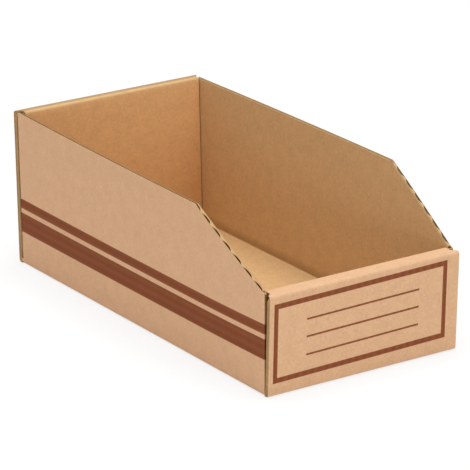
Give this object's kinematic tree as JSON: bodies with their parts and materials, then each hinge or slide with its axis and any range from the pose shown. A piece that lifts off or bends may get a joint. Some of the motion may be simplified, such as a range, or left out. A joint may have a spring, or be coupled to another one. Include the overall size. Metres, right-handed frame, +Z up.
{
  "type": "cardboard storage bin",
  "caption": "Open-fronted storage bin folded from corrugated cardboard, with side walls that slope down to a low front and with rolled-over front and back panels.",
  "frame": {"origin": "middle of the bin's outline, on the surface that its floor rests on", "axes": "+X to the right across the bin, +Y along its length from the low front to the back, +Z up"},
  "size_m": [0.1614, 0.3066, 0.1107],
  "materials": {
    "kraft_board": "matt kraft paper"
  },
  "bodies": {
    "root": {"folded_bin": "kraft_board"}
  },
  "joints": []
}
